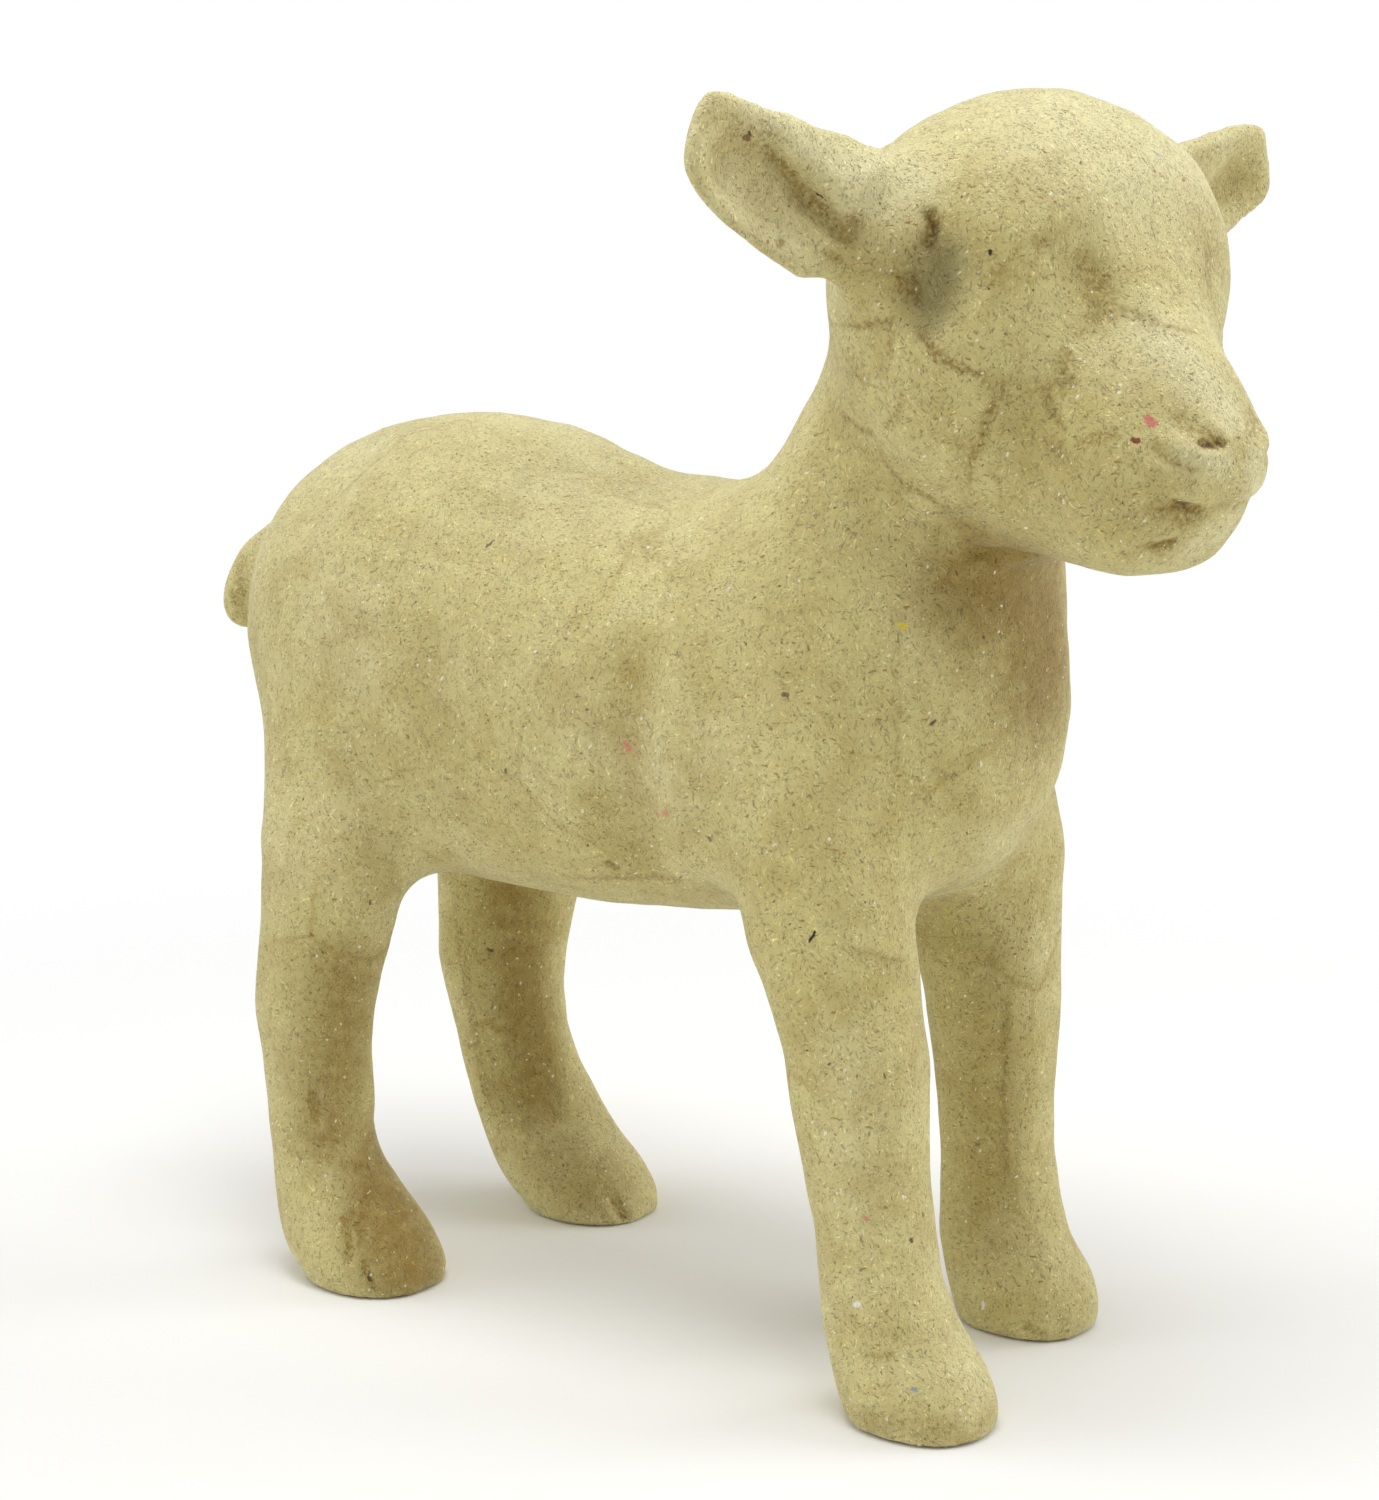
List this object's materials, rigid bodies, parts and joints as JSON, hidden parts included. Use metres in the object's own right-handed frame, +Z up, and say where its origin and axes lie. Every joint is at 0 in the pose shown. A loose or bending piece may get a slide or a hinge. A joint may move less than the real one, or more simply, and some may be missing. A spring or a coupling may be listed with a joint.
{
  "type": "lamb figurine",
  "caption": "Standing lamb figurine of hollow moulded kraft paper, its head turned a little aside, with cupped ears, a short tail and board soles to rest on.",
  "frame": {"origin": "middle of the bounding box at floor level, under the trunk", "axes": "+X forward along the trunk towards the nose, +Y to the lamb's left, +Z up"},
  "size_m": [0.2074, 0.1208, 0.1995],
  "materials": {
    "kraft_shell": "matte pasted kraft paper",
    "pulp": "matte pressed paper pulp",
    "strip_paper": "matte torn kraft strip",
    "sole_board": "matte grey-brown board"
  },
  "bodies": {
    "root": {"body_shell_right": "kraft_shell", "body_shell_left": "kraft_shell", "head_shell_right": "kraft_shell", "head_shell_left": "kraft_shell", "ear_right": "pulp", "ear_left": "pulp", "tail": "pulp", "leg_front_right_outer": "kraft_shell", "leg_front_right_inner": "kraft_shell", "leg_front_left_outer": "kraft_shell", "leg_front_left_inner": "kraft_shell", "leg_rear_right_outer": "kraft_shell", "leg_rear_right_inner": "kraft_shell", "leg_rear_left_outer": "kraft_shell", "leg_rear_left_inner": "kraft_shell", "sole_front_right": "sole_board", "sole_front_left": "sole_board", "sole_rear_right": "sole_board", "sole_rear_left": "sole_board", "neck_strip": "strip_paper", "back_seam_strip": "strip_paper", "belly_seam_strip": "strip_paper", "crown_seam_strip": "strip_paper"}
  },
  "joints": []
}
